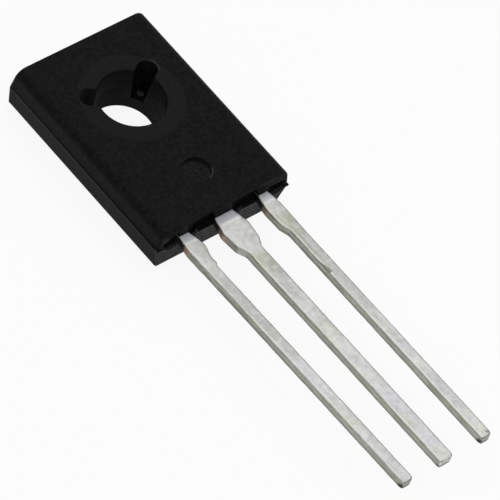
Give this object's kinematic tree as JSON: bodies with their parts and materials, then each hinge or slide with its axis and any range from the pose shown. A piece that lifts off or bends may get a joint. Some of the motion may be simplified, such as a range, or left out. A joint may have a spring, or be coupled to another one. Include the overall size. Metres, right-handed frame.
{
  "type": "darlington transistor",
  "caption": "Flat black epoxy power transistor with a screw hole, a bare metal back and three straight tinned leads from one end.",
  "frame": {"origin": "on the axis of the mounting hole, in the plane of the bare back plate", "axes": "+Z along the mounting hole, out of the plain front face; +Y away from the leads; +X towards the base lead"},
  "size_m": [0.0078, 0.0266, 0.0025],
  "materials": {
    "epoxy": "fine matte moulded epoxy",
    "tinned_copper": "matte tin plate over copper, bare copper where sheared",
    "silicon": "polished",
    "solder": "satin",
    "bond_wire": "drawn"
  },
  "bodies": {
    "root": {"moulded_body": "epoxy", "collector_frame": "tinned_copper", "emitter_lead": "tinned_copper", "base_lead": "tinned_copper", "darlington_die": "silicon", "die_attach_solder": "solder", "emitter_bond_wire": "bond_wire", "base_bond_wire": "bond_wire"}
  },
  "joints": []
}
